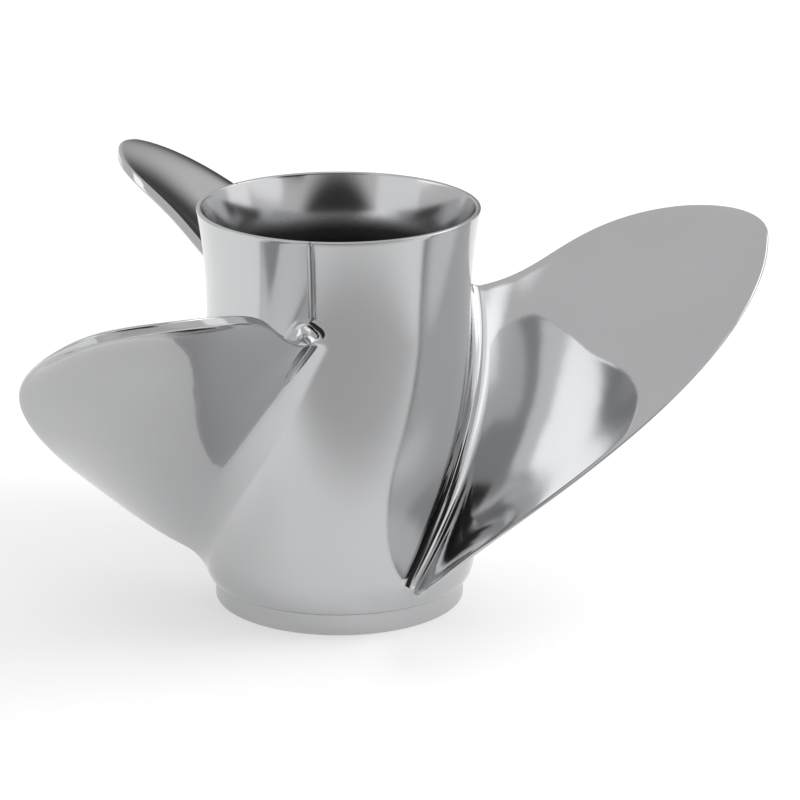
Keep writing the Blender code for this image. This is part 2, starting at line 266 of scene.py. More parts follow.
class CoreSettings(bpy.types.PropertyGroup):
    """Sizes of the pieces inside the barrel"""

    hub_radius: length("Inner hub radius", 30.5, "Outer radius of the inner hub")
    hub_bottom: length("Inner hub bottom", 9.0, "Height of the inner hub's forward end")
    hub_top: length("Inner hub top", 148.0, "Height of the inner hub's aft end")
    bushing_bore: length("Bushing bore", 26.3, "Radius of the bore that holds the rubber")
    bushing_bottom: length("Bushing bottom", 20.0, "Height of the rubber's forward end")
    bushing_stop: length("Bushing stop", 120.0, "Height of the shoulder that stops the rubber")
    stop_bore: length("Stop bore", 22.0, "Radius of the hole aft of the shoulder")
    rib_count: IntProperty(name="Ribs", description="Number of ribs", default=3, min=1)
    rib_width: length("Rib width", 7.0, "Thickness of a rib in its middle")
    rib_bottom: length("Rib bottom", 18.0, "Height of the ribs' forward ends")
    rib_top: length("Rib top", 138.0, "Height of the ribs' aft ends")
    rib_angle: angle("Rib angle", -40.0, "Angle of the first rib")
    fit_gap: length("Fit gap", 0.3, "Gap between casting, rubber and sleeve")
    sleeve_radius: length("Sleeve radius", 18.5, "Outer radius of the splined sleeve")
    sleeve_bottom: length("Sleeve bottom", 13.0, "Height of the sleeve's forward end")
    sleeve_top: length("Sleeve top", 132.0, "Height of the sleeve's aft end")
    tooth_count: IntProperty(name="Teeth", description="Number of splines", default=15, min=3)
    tooth_root: length("Tooth root radius", 15.5, "Radius at the roots of the splines")
    tooth_tip: length("Tooth tip radius", 13.7, "Radius at the tips of the splines")


class FinishSettings(bpy.types.PropertyGroup):
    """Colours and gloss of the materials"""

    steel: colour("Steel", (0.5, 0.503, 0.51), "Colour of the polished steel")
    # The cast colour is kept dark partly as painted shade for the inside of the barrel
    cast: colour("Cast steel", (0.16, 0.16, 0.16), "Colour of the unpolished casting")
    rubber: colour("Rubber", (0.018, 0.018, 0.019), "Colour of the rubber")
    brass: colour("Brass", (0.62, 0.44, 0.19), "Colour of the brass")
    blade_gloss: factor("Blade roughness", 0.06, "Roughness of the polished blades")
    barrel_gloss: factor("Barrel roughness", 0.13, "Roughness of the polished barrel")
    bell_gloss: factor("Bell roughness", 0.14, "Roughness of the polished bell inside the lip")
    floor: colour("Floor", (0.55, 0.55, 0.55), "Colour of the studio floor")


class StageSettings(bpy.types.PropertyGroup):
    """Camera and light"""

    lens: FloatProperty(name="Lens", description="Focal length of the camera",
                        default=157.186, min=1.0, subtype="DISTANCE_CAMERA", unit="CAMERA")
    distance: length("Distance", 1536.342, "From the camera to the point it looks at")
    elevation: angle("Elevation", 17.7585, "Height of the camera as an angle")
    roll: angle("Roll", -0.16914, "Turn of the camera about its own axis")
    aim: FloatVectorProperty(name="Aim", description="Point that the camera looks at",
                             default=(0.026782, 0.0, 0.089482), size=3, subtype="XYZ",
                             unit="LENGTH")
    surroundings: FloatProperty(name="Surroundings", description="Brightness of the studio's walls",
                                default=0.8, min=0.0)
    floor_glow: FloatProperty(name="Floor glow", description="Light that the floor adds itself",
                              default=0.6, min=0.0)
    key_power: FloatProperty(name="Key light", description="Power of the soft light on the right",
                             default=9.0, min=0.0, unit="POWER")
    key_size: length("Key size", 800.0, "Side of the soft light")
    key_distance: length("Key distance", 1600.0, "From the soft light to the propeller")


class PropellerSettings(bpy.types.PropertyGroup):
    """All settings of the propeller"""

    barrel: PointerProperty(type=BarrelSettings)
    blade: PointerProperty(type=BladeSettings)
    core: PointerProperty(type=CoreSettings)
    finish: PointerProperty(type=FinishSettings)
    stage: PointerProperty(type=StageSettings)


def settings():
    """The scene's settings."""
    return bpy.context.scene.propeller


class Value:
    """An output of a shader node, on which arithmetic adds Math nodes."""

    def __init__(self, nodes, socket):
        self.nodes = nodes
        self.socket = socket

    def __add__(self, other):
        return self.nodes.math("ADD", self, other)

    def __radd__(self, other):
        return self.nodes.math("ADD", other, self)

    def __sub__(self, other):
        return self.nodes.math("SUBTRACT", self, other)

    def __rsub__(self, other):
        return self.nodes.math("SUBTRACT", other, self)

    def __mul__(self, other):
        return self.nodes.math("MULTIPLY", self, other)

    def __rmul__(self, other):
        return self.nodes.math("MULTIPLY", other, self)

    def __pow__(self, other):
        return self.nodes.math("POWER", self, other)


class Nodes:
    """A node tree whose nodes all come from add()."""

    def __init__(self, tree):
        self.tree = tree

    def add(self, kind, options=None, inputs=None, output=0):
        """Add a node, set its options, fill its inputs and give one output as a Value."""
        node = self.tree.nodes.new(kind)
        for key, value in (options or {}).items():
            setattr(node, key, value)
        for key, value in (inputs or {}).items():
            self.fill(node.inputs[key], value)
        return Value(self, node.outputs[output])

    def fill(self, socket, value):
        """Link a Value to a socket, or set a number or colour on it."""
        if isinstance(value, Value):
            self.tree.links.new(value.socket, socket)
        else:
            socket.default_value = value

    def math(self, operation, *values):
        """Add a Math node."""
        return self.add("ShaderNodeMath", {"operation": operation}, dict(enumerate(values)))

    def place(self):
        """Object coordinates."""
        return self.add("ShaderNodeTexCoord", output="Object")

    def vector(self, operation, *values, output="Vector"):
        """Add a Vector Math node."""
        options = {"operation": operation}
        return self.add("ShaderNodeVectorMath", options, dict(enumerate(values)), output)

    def noise(self, vector, scale, detail, roughness=0.5):
        """Noise from 0 to 1."""
        inputs = {"Vector": vector, "Scale": scale, "Detail": detail, "Roughness": roughness}
        return self.add("ShaderNodeTexNoise", None, inputs)

    def smooth(self, value, low, high):
        """Smooth step of a value from 0 at low to 1 at high."""
        options = {"interpolation_type": "SMOOTHSTEP"}
        return self.add("ShaderNodeMapRange", options, {0: value, 1: low, 2: high, 3: 0.0, 4: 1.0})

    def span(self, value, low, high):
        """A value from 0 to 1 spread from low to high."""
        return self.add("ShaderNodeMapRange", None, {0: value, 1: 0.0, 2: 1.0, 3: low, 4: high})

    def blend(self, share, first, second):
        """Mix two colours by a share."""
        inputs = {0: share, 6: first, 7: second}
        return self.add("ShaderNodeMix", {"data_type": "RGBA"}, inputs, output=2)

    def mottled(self, pattern, base, dark, light):
        """A colour that a pattern varies between two shares of it."""
        return self.blend(pattern, tinted(base, dark), tinted(base, light))

    def parts(self, vector):
        """The three numbers of a vector."""
        node = self.add("ShaderNodeSeparateXYZ", None, {0: vector}).socket.node
        return [Value(self, output) for output in node.outputs]

    def lathe(self):
        """Coordinates that are the same all round the axis: radius and height."""
        x, y, z = self.parts(self.place())
        return self.add("ShaderNodeCombineXYZ", None, {0: (x * x + y * y) ** 0.5, 2: z})

    def bump(self, height, distance, strength, normal=None):
        """A Bump node on a height from 0 to 1."""
        inputs = {"Height": height, "Distance": distance, "Strength": strength}
        if normal is not None:
            inputs["Normal"] = normal
        return self.add("ShaderNodeBump", None, inputs)


class Finish(Nodes):
    """A material with a Principled shader."""

    def __init__(self, name, base, roughness, metallic):
        self.material = bpy.data.materials.new(name)
        self.material.use_nodes = True
        super().__init__(self.material.node_tree)
        self.shader = self.tree.nodes["Principled BSDF"]
        self.set("Base Color", (*base, 1.0))
        self.set("Roughness", roughness)
        self.set("Metallic", metallic)

    def set(self, name, value):
        """Set or link an input of the shader."""
        self.fill(self.shader.inputs[name], value)


def tinted(base, share):
    """A colour made lighter or darker by a share."""
    return (base[0] * share, base[1] * share, base[2] * share, 1.0)


def hand_polished(finish, roughness, crease_shade=None):
    """Broad waves, short polishing strokes and faint smears of hand-polished steel."""
    steel = settings().finish.steel
    place = finish.place()
    waves = finish.noise(place, scale=55.0, detail=2.0, roughness=0.45)
    stretched = finish.vector("MULTIPLY", place, (1.0, 0.35, 6.0))
    strokes = finish.noise(stretched, scale=160.0, detail=3.0, roughness=0.6)
    smears = finish.noise(place, scale=18.0, detail=4.0, roughness=0.55)
    shade = finish.mottled(smears, steel, dark=0.95, light=1.04)
    # Painted shade: the steel darkened to a quarter where the parting lines run
    if crease_shade is not None:
        shade = finish.blend(crease_shade, shade, tinted(steel, 0.25))
    finish.set("Base Color", shade)
    worn = smears * 0.7 + strokes * 0.3
    finish.set("Roughness", finish.span(worn, low=roughness * 0.6, high=roughness * 1.4))
    soft = finish.bump(waves, distance=0.12 * MM, strength=0.35)
    return finish.bump(strokes, distance=0.01 * MM, strength=0.4, normal=soft)


def polished_blades():
    """Mirror-polished steel of the blades."""
    values = settings().finish
    finish = Finish("polished_blades", values.steel, values.blade_gloss, metallic=1.0)
    finish.set("Normal", hand_polished(finish, values.blade_gloss))
    return finish.material


def crease_shade_mask(finish):
    """Share of painted shade that darkens the parting lines, from each blade to the lip."""
    sizes = settings().barrel
    x, y, height = finish.parts(finish.place())
    turn = finish.math("ARCTAN2", y, x) - sizes.crease_angle
    away = finish.math("PINGPONG", turn, math.pi / settings().blade.count)
    inside = 1.0 - finish.smooth(away * sizes.front_radius, *CREASE_SHADE_EDGE)
    return inside * finish.smooth(height, *CREASE_SHADE_FADE)


def polished_barrel():
    """Polished steel of the barrel, with faint marks left by the polishing wheel round it."""
    values = settings().finish
    finish = Finish("polished_barrel", values.steel, values.barrel_gloss, metallic=1.0)
    marks = finish.noise(finish.lathe(), scale=900.0, detail=4.0, roughness=0.6)
    wobble = finish.noise(finish.place(), scale=30.0, detail=2.0)
    # Painted shade in the parting lines, made uneven by a noise
    crease_shade = crease_shade_mask(finish) * (0.6 + 0.4 * wobble)
    soft = hand_polished(finish, values.barrel_gloss, crease_shade)
    uneven = marks * (0.4 + 0.6 * wobble)
    finish.set("Normal", finish.bump(uneven, distance=0.006 * MM, strength=0.5, normal=soft))
    return finish.material


def machined_ring():
    """Satin steel turned on a lathe, on the step ring and its forward face."""
    steel = settings().finish.steel
    finish = Finish("machined_ring", steel, roughness=0.36, metallic=1.0)
    cuts = finish.noise(finish.lathe(), scale=2200.0, detail=2.0, roughness=0.7)
    patches = finish.noise(finish.place(), scale=24.0, detail=4.0)
    finish.set("Base Color", finish.mottled(patches, steel, dark=0.93, light=1.08))
    finish.set("Roughness", finish.span(cuts * 0.5 + patches * 0.5, low=0.22, high=0.36))
    finish.set("Normal", finish.bump(cuts, distance=0.03 * MM, strength=0.6))
    return finish.material


def casting_skin(finish):
    """Grain and stains of an unpolished casting, and the roughness that they give."""
    grain = finish.noise(finish.place(), scale=700.0, detail=5.0, roughness=0.65)
    stains = finish.noise(finish.place(), scale=22.0, detail=5.0, roughness=0.6)
    return grain, stains, finish.span(stains * 0.6 + grain * 0.4, low=0.38, high=0.62)


def cast_bore():
    """Inside of the barrel: polished in the bell, as cast and darkened with painted shade further
    down.
    """
    values = settings().finish
    finish = Finish("cast_bore", values.cast, roughness=0.5, metallic=1.0)
    _, _, height = finish.parts(finish.place())
    grain, stains, rough = casting_skin(finish)
    polish = finish.smooth(height + stains * POLISH_WANDER, *POLISH_EDGE)
    # Painted shade: the cast colour cut to a fifth to a half, so the deep inside of the barrel
    # looks black
    shaded_cast = finish.mottled(stains, values.cast, dark=0.2, light=0.5)
    finish.set("Base Color", finish.blend(polish, shaded_cast, tinted(values.steel, 1.0)))
    finish.set("Roughness", rough * (1.0 - polish) + polish * values.bell_gloss)
    finish.set("Normal", finish.bump(grain * (1.0 - polish), distance=0.12 * MM, strength=0.8))
    return finish.material


def cast_steel():
    """Steel as it comes from the mould."""
    cast = settings().finish.cast
    finish = Finish("cast_steel", cast, roughness=0.5, metallic=1.0)
    grain, stains, rough = casting_skin(finish)
    finish.set("Base Color", finish.mottled(stains, cast, dark=0.7, light=1.2))
    finish.set("Roughness", rough)
    finish.set("Normal", finish.bump(grain, distance=0.12 * MM, strength=0.8))
    return finish.material


def moulded_rubber():
    """Matt black rubber with mould grain and a dusty bloom."""
    rubber = settings().finish.rubber
    finish = Finish("moulded_rubber", rubber, roughness=0.75, metallic=0.0)
    grain = finish.noise(finish.place(), scale=1500.0, detail=3.0)
    bloom = finish.noise(finish.place(), scale=60.0, detail=4.0, roughness=0.6)
    finish.set("Base Color", finish.mottled(bloom, rubber, dark=0.8, light=2.2))
    finish.set("Roughness", finish.span(bloom, low=0.6, high=0.88))
    finish.set("Normal", finish.bump(grain, distance=0.06 * MM, strength=0.5))
    return finish.material


def turned_brass():
    """Brass with lathe marks and a little tarnish."""
    brass = settings().finish.brass
    finish = Finish("turned_brass", brass, roughness=0.3, metallic=1.0)
    cuts = finish.noise(finish.lathe(), scale=1800.0, detail=2.0, roughness=0.7)
    tarnish = finish.noise(finish.place(), scale=45.0, detail=5.0, roughness=0.6)
    finish.set("Base Color", finish.mottled(tarnish, brass, dark=0.7, light=1.1))
    finish.set("Roughness", finish.span(cuts * 0.4 + tarnish * 0.6, low=0.2, high=0.42))
    finish.set("Normal", finish.bump(cuts, distance=0.02 * MM, strength=0.5))
    return finish.material


def deselect_all():
    """Leave nothing selected and be in object mode."""
    if bpy.context.object is not None and bpy.context.object.mode != "OBJECT":
        bpy.ops.object.mode_set(mode="OBJECT")
    bpy.ops.object.select_all(action="DESELECT")


def named(name):
    """Name the object that was just added, and its mesh."""
    item = bpy.context.object
    item.name = name
    item.data.name = name
    return item


def linked(data):
    """A new object for a light or a camera, linked to the scene."""
    item = bpy.data.objects.new(data.name, data)
    bpy.context.scene.collection.objects.link(item)
    return item


def activate(item):
    """Make one object the only selected one and the active one."""
    deselect_all()
    item.select_set(True)
    bpy.context.view_layer.objects.active = item


def seat(item):
    """Put an object's place, turn and scale into its mesh."""
    activate(item)
    bpy.ops.object.transform_apply(location=True, rotation=True, scale=True)


def edit_all():
    """Edit the active object's mesh with all of it selected."""
    bpy.ops.object.mode_set(mode="EDIT")
    bpy.ops.mesh.select_all(action="SELECT")


def close_open_edges(fill):
    """Run an operator that closes the edited mesh on its open edges, and leave edit mode."""
    bpy.ops.mesh.select_mode(type="EDGE")
    bpy.ops.mesh.select_all(action="DESELECT")
    bpy.ops.mesh.select_non_manifold()
    fill()
    bpy.ops.mesh.select_mode(type="VERT")
    bpy.ops.object.mode_set(mode="OBJECT")


def close_and_smooth(item, degrees=40.0):
    """Merge doubles, point the faces outwards and shade smooth except over sharp edges."""
    activate(item)
    edit_all()
    bpy.ops.mesh.remove_doubles(threshold=0.002 * MM)
    bpy.ops.mesh.normals_make_consistent(inside=False)
    bpy.ops.object.mode_set(mode="OBJECT")
    bpy.ops.object.shade_smooth_by_angle(angle=math.radians(degrees))


def combine(item, other, operation):
    """Join another solid to an object or cut it out of it, and remove the other."""
    activate(item)
    bpy.ops.object.modifier_add(type="BOOLEAN")
    boolean = item.modifiers[-1]
    boolean.operation = operation
    boolean.object = other
    bpy.ops.object.modifier_apply(modifier=boolean.name)
    bpy.data.objects.remove(other, do_unlink=True)


Corner = namedtuple("Corner", "radius height rounding", defaults=(0.0,))


def rounded(corners):
    """Profile of the corners, with an arc at each that has a rounding."""
    points = []
    count = len(corners)
    for index, (radius, height, size) in enumerate(corners):
        corner = Vector((radius, height))
        if size == 0.0:
            points.append(corner)
            continue
        before = Vector(corners[index - 1][:2]) - corner
        after = Vector(corners[(index + 1) % count][:2]) - corner
        half = before.angle(after) / 2
        reach = min(size / math.tan(half), before.length * CORNER_SHARE,
                    after.length * CORNER_SHARE)
        middle = corner + (before.normalized() + after.normalized()).normalized() * (
            reach / math.cos(half))
        start = corner + before.normalized() * reach - middle
        turn = start.angle_signed(corner + after.normalized() * reach - middle)
        for step in range(CORNER_STEPS + 1):
            spin = -turn * step / CORNER_STEPS
            points.append(middle + Vector((
                start.x * math.cos(spin) - start.y * math.sin(spin),
                start.x * math.sin(spin) + start.y * math.cos(spin))))
    return points


def turned(name, profile, steps):
    """Solid of revolution: a circle extruded ring by ring along a closed profile."""
    deselect_all()
    radius, height = profile[0]
    bpy.ops.mesh.primitive_circle_add(vertices=steps, radius=radius, location=(0, 0, height))
    item = named(name)
    edit_all()
    for (radius, height), (next_radius, next_height) in zip(profile, profile[1:]):
        move = {"value": (0.0, 0.0, next_height - height)}
        bpy.ops.mesh.extrude_edges_move(TRANSFORM_OT_translate=move)
        share = next_radius / radius
        bpy.ops.transform.resize(value=(share, share, 1.0))
    close_open_edges(bpy.ops.mesh.bridge_edge_loops)
    seat(item)
    close_and_smooth(item)
    return item


def barrel_radius(height):
    """Outer radius of the barrel: round shoulder, slight taper and a flare at the aft end."""
    sizes = settings().barrel
    top = sizes.shoulder_top
    if height < top:
        drop = min((top - height) / (top - sizes.step_height), 1.0)
        inset = 1 - math.sqrt(1 - drop * drop)
        return sizes.front_radius - (sizes.front_radius - sizes.foot_radius) * inset
    radius = sizes.front_radius - sizes.taper * (height - top) / (sizes.height - top)
    if height > sizes.flare_start:
        rise = (height - sizes.flare_start) / (sizes.height - sizes.flare_start)
        radius += sizes.flare_growth * rise * rise
    return radius


def bore_radius(height):
    """Inner radius of the barrel: narrowing to the waist, then opening out like a bell."""
    sizes = settings().barrel
    start = sizes.bell_start
    if height <= start:
        drop = (start - height) / (start - sizes.recess_depth)
        return sizes.waist_radius + (sizes.throat_radius - sizes.waist_radius) * drop
    rise = (height - start) / (sizes.height - start)
    mouth = barrel_radius(sizes.height) - sizes.lip_width
    return sizes.waist_radius + (mouth - sizes.waist_radius) * rise ** sizes.bell_curve


def steps_between(start, end, count):
    """Evenly spaced values from start to end, both included."""
    return [start + (end - start) * index / count for index in range(count + 1)]


def barrel_corners():
    """Section of the barrel, down its outer side and up its inner side."""
    sizes = settings().barrel
    rim = barrel_radius(sizes.height)
    drop = sizes.shoulder_top - sizes.step_height
    outside = steps_between(sizes.height - LIP_GAP, sizes.flare_start, FLARE_STEPS)
    outside += steps_between(sizes.flare_start, sizes.shoulder_top, WALL_STEPS)[1:]
    outside += [sizes.shoulder_top - drop * math.sin(turn)
                for turn in steps_between(0.0, math.pi / 2, SHOULDER_STEPS)[1:-1]]
    inside = steps_between(sizes.recess_depth + THROAT_GAP, sizes.bell_start, BORE_STEPS)
    inside += steps_between(sizes.bell_start, sizes.height - MOUTH_GAP, BELL_STEPS)[1:]
    return [
        Corner(rim - sizes.lip_width, sizes.height, rounding=0.5 * MM),
        Corner(rim, sizes.height, rounding=0.6 * MM),
        *(Corner(barrel_radius(height), height) for height in outside),
        Corner(sizes.foot_radius, sizes.step_height, rounding=0.25 * MM),
        Corner(sizes.step_radius, sizes.step_height, rounding=0.3 * MM),
        Corner(sizes.step_radius, 0.0, rounding=0.7 * MM),
        Corner(sizes.recess_radius, 0.0, rounding=0.5 * MM),
        Corner(sizes.recess_radius, sizes.recess_depth, rounding=0.8 * MM),
        *(Corner(bore_radius(height), height) for height in inside),
    ]


def press_creases(barrel):
    """Draw vertices to the parting lines and press them in, from each blade to the lip."""
    sizes = settings().barrel
    pitch = math.tau / settings().blade.count
    near = math.radians(CREASE_DRAW_ANGLE)
    half = sizes.crease_width / sizes.front_radius
    low, high = CREASE_BOTTOM, sizes.height - CREASE_TOP_GAP
    for vertex in barrel.data.vertices:
        radius = math.hypot(vertex.co.x, vertex.co.y)
        height = vertex.co.z
        turn = math.atan2(vertex.co.y, vertex.co.x) - sizes.crease_angle
        away = (turn + pitch / 2) % pitch - pitch / 2
        closer = away * (1 - CREASE_DRAW_SHARE * math.exp(-(away / near) ** 2))
        turn += closer - away + sizes.crease_angle
        outside = radius > bore_radius(height) + sizes.lip_width * CREASE_WALL_SHARE
        if outside and low < height < high:
            fade = min((height - low) / CREASE_FADE_IN, (high - height) / CREASE_FADE_OUT, 1.0)
            radius -= sizes.crease_depth * fade * math.exp(-(closer / half) ** 2)
        vertex.co.x = radius * math.cos(turn)
        vertex.co.y = radius * math.sin(turn)


def paint_barrel(barrel):
    """Give the barrel's faces their finish: polished outside, machined ring, cast inside with
    painted shade.
    """
    sizes = settings().barrel
    ring, bore = 1, 2
    for finish in (polished_barrel(), machined_ring(), cast_bore()):
        barrel.data.materials.append(finish)
    for face in barrel.data.polygons:
        radius = math.hypot(face.center.x, face.center.y)
        height = face.center.z
        if height < sizes.step_height and radius > sizes.recess_radius - RING_MARGIN:
            face.material_index = ring
        elif height < sizes.height - BORE_MARGIN and radius < bore_radius(height) + BORE_MARGIN:
            face.material_index = bore


def bezier(points, place):
    """Radius, angle and height on a blade's edge, at a place from 0 to 1."""
    degree = len(points) - 1
    result = [0.0, 0.0, 0.0]
    for index, point in enumerate(points):
        weight = math.comb(degree, index) * place ** index * (1 - place) ** (degree - index)
        for axis in range(3):
            result[axis] += weight * point[axis]
    return result[0] * MM, math.radians(result[1]), result[2] * MM


def arch(chord):
    """Share that is 1 in the middle of the chord and 0 at both edges."""
    return 4 * chord * (1 - chord)


def pressure_face(span, chord):
    """Radius, angle and height of a blade's aft face.

    span runs from 0 at the root to 1 at the tip, and chord from 0 at the trailing edge
    to 1 at the leading edge.
    """
    sizes = settings().blade
    trailing = bezier(TRAILING_EDGE, span)
    leading = bezier(LEADING_EDGE, span)
    radius, turn, height = ((1 - chord) * a + chord * b for a, b in zip(trailing, leading))
    camber = sizes.camber_growth * span - sizes.root_crown - sizes.camber_decline * span ** 2
    return radius, turn, height - camber * (1 - span ** 4) ** 2 * arch(chord)


def thickness(span, chord):
    """Thickness of a blade, fullest in its middle."""
    sizes = settings().blade
    edge = sizes.trailing_thickness + (sizes.leading_thickness - sizes.trailing_thickness) * chord
    middle = sizes.root_thickness + (sizes.tip_thickness - sizes.root_thickness) * math.sqrt(span)
    return edge + (max(middle, edge) - edge) * arch(chord)


def chord_direction(span, chord):
    """Unit step from trailing to leading edge on the unrolled cylinder: across and upwards."""
    before = pressure_face(span, max(chord - CHORD_STEP, 0.0))
    after = pressure_face(span, min(chord + CHORD_STEP, 1.0))
    across = (after[1] - before[1]) * before[0]
    upwards = after[2] - before[2]
    size = math.hypot(across, upwards)
    return across / size, upwards / size


def chord_length(span):
    """Distance between the edges of a blade."""
    radius, turn, height = bezier(TRAILING_EDGE, span)
    far_radius, far_turn, far_height = bezier(LEADING_EDGE, span)
    across = (far_turn - turn) * (far_radius + radius) / 2
    return math.sqrt(across ** 2 + (far_height - height) ** 2 + (far_radius - radius) ** 2)


def span_at(clearance, chord):
    """The span at which the aft face stands clear of the barrel by a given amount."""
    low, high = 0.0, ROOT_SPAN
    for _ in range(HALVINGS):
        middle = (low + high) / 2
        radius, _, height = pressure_face(middle, chord)
        if radius - barrel_radius(height) < clearance:
            low = middle
        else:
            high = middle
    return high


def on_axis(radius, turn, height):
    """Point in space from radius, angle and height."""
    return Vector((radius * math.cos(turn), radius * math.sin(turn), height))


class BladeEdge:
    """The outline of a blade, which tells how far a point lies from it."""

    def __init__(self):
        places = steps_between(0.0, 1.0, EDGE_SAMPLES)
        up = [on_axis(*bezier(TRAILING_EDGE, place)) for place in places]
        down = [on_axis(*bezier(LEADING_EDGE, place)) for place in reversed(places)]
        self.points = up + down[1:]
        self.tree = kdtree.KDTree(len(self.points))
        for index, point in enumerate(self.points):
            self.tree.insert(point, index)
        self.tree.balance()

    def distance(self, point):
        """Distance from a point to the outline."""
        nearest, index, _ = self.tree.find(point)
        best = (point - nearest).length
        for other in (index - 1, index + 1):
            if 0 <= other < len(self.points):
                foot, share = geometry.intersect_point_line(point, nearest, self.points[other])
                if 0.0 < share < 1.0:
                    best = min(best, (point - foot).length)
        return best


Place = namedtuple("Place", "part share side turn")
Row = namedtuple("Row", "clearance rise flare sink", defaults=(None, 0.0, 0.0))
AFT = -1
FORWARD = 1


def blade_loop():
    """Places round a blade's section.

    Each has its part of the section, a share along the face or across the edge, its side
    and the turn of the rounded edge, which is 90 degrees on the face.
    """
    quarter = math.pi / 2
    turns = steps_between(quarter, 0.0, EDGE_STEPS)
    loop = [Place("face", share, AFT, quarter) for share in steps_between(0.0, 1.0, FACE_STEPS)]
    loop += [Place("lead", 0.0, AFT, turn) for turn in turns[1:]]
    loop += [Place("lead", 0.0, FORWARD, turn) for turn in turns[-2:0:-1]]
    loop += [Place("face", share, FORWARD, quarter)
             for share in steps_between(1.0, 0.0, FACE_STEPS)]
    loop += [Place("trail", 0.0, FORWARD, turn) for turn in turns[1:]]
    loop += [Place("band", share, FORWARD, 0.0)
             for share in steps_between(1.0, 0.0, BAND_STEPS)[1:-1]]
    loop += [Place("trail", 0.0, AFT, turn) for turn in turns[-1:0:-1]]
    return loop


def blade_rows():
    """Rows from the root to the tip.

    A row keeps a clearance from the barrel while its rise is None, and otherwise lies at a
    share of the span that is left.  Flare spreads the fillet, and sink lets the root into
    the barrel.
    """
    fillet = settings().blade.fillet
    rows = [Row(0.0, flare=1.0, sink=ROOT_SINK), Row(0.0, flare=FILLET_FLARE, sink=FILLET_SINK)]
    for turn in steps_between(0.0, math.pi / 2, FILLET_STEPS):
        rows.append(Row(fillet * (1 - math.cos(turn)), flare=1 - math.sin(turn)))
    for share in steps_between(0.0, LAST_ROW, BLADE_ROWS)[1:]:
        rows.append(Row(fillet, rise=math.sin(share * math.pi / 2)))
    return rows


def skin_point(place, row, edge, chord_size):
    """A point of a blade's skin, on the face or round the edge, pushed out by the fillet."""
    sizes = settings().blade
    part, share, side, turn = place
    clearance, rise, flare, sink = row
    trail_round = sizes.trailing_round
    lead_round = sizes.leading_thickness / 2
    start = trail_round / chord_size
    end = 1 - lead_round / chord_size
    if part == "face":
        chord = start + (end - start) * share
    elif part == "lead":
        chord = 1 - lead_round * (1 - math.cos(turn)) / chord_size
    else:
        chord = trail_round * (1 - math.cos(turn)) / chord_size
    span = span_at(clearance, chord)
    if rise is not None:
        span += (1 - span) * rise
    radius, around, height = pressure_face(span, chord)
    depth = thickness(span, chord)
    corner = trail_round + (lead_round - trail_round) * chord
    corner = min(corner, depth / 2)
    inside = min(edge.distance(on_axis(radius, around, height)), corner)
    bite = corner - math.sqrt(corner ** 2 - (corner - inside) ** 2)
    if part == "band":
        forward = bite + (depth - 2 * bite) * share
    elif side == AFT:
        forward = bite
    else:
        forward = depth - bite
    reach = sizes.nose_fillet if part == "lead" else -sizes.fillet
    along = reach * math.cos(turn) * flare if part != "face" else 0.0
    forward += side * sizes.fillet * math.sin(turn) * flare
    across, upwards = chord_direction(span, chord)
    around += (along * across - forward * upwards) / radius
    settled = height + along * upwards + forward * across
    if rise is None:
        near = clearance / sizes.fillet
        base = barrel_radius(height)
        radius = base + clearance + (barrel_radius(settled) - base) * (1 - near) - sink
    return on_axis(radius, around, settled)


def first_blade():
    """The blade on +X: a flat grid wrapped round the blade's sections."""
    places = blade_loop()
    rows = blade_rows()
    edge = BladeEdge()
    columns, levels = len(places), len(rows) - 1
    deselect_all()
    bpy.ops.mesh.primitive_grid_add(x_subdivisions=columns, y_subdivisions=levels, size=1.0)
    blade = named("blade_1")
    points = []
    for row in rows:
        middle = span_at(row.clearance, chord=0.5)
        if row.rise is not None:
            middle += (1 - middle) * row.rise
        size = chord_length(middle)
        points.append([skin_point(place, row, edge, size) for place in places])
    for vertex in blade.data.vertices:
        column = round((vertex.co.x + 0.5) * columns) % columns
        level = round((vertex.co.y + 0.5) * levels)
        vertex.co = points[level][column]
    activate(blade)
    edit_all()
    bpy.ops.mesh.remove_doubles(threshold=0.001 * MM)
    close_open_edges(bpy.ops.mesh.fill)
    close_and_smooth(blade)
    return blade


def finish_piece(piece, slot, *nodes):
    """Seat a piece on the one body and hide the imported nodes that it stands for. The slot is not
    used.
    """
    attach(piece, "root")
    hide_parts(*nodes)


class PROPELLER_OT_add_barrel(bpy.types.Operator):
    """Add the barrel with its flared lip, shoulder and step ring"""

    bl_idname = "propeller.add_barrel"
    bl_label = "Barrel"
    bl_options = {"REGISTER", "UNDO"}

    def execute(self, context):
        barrel = turned("barrel", rounded(barrel_corners()), BARREL_STEPS)
        press_creases(barrel)
        paint_barrel(barrel)
        finish_piece(barrel, "polished_steel", "propeller_casting")
        return {"FINISHED"}


class PROPELLER_OT_add_blades(bpy.types.Operator):
    """Add the blades with their root fillets"""

    bl_idname = "propeller.add_blades"
    bl_label = "Blades"
    bl_options = {"REGISTER", "UNDO"}

    def execute(self, context):
        count = settings().blade.count
        blade = first_blade()
        blade.data.materials.append(polished_blades())
        blades = [blade]
        for index in range(1, count):
            activate(blade)
            bpy.ops.object.duplicate()
            copy = named("blade_%d" % (index + 1))
            copy.rotation_euler.z = index * math.tau / count
            seat(copy)
            blades.append(copy)
        for piece in blades:
            finish_piece(piece, "polished_steel", "propeller_casting")
        return {"FINISHED"}


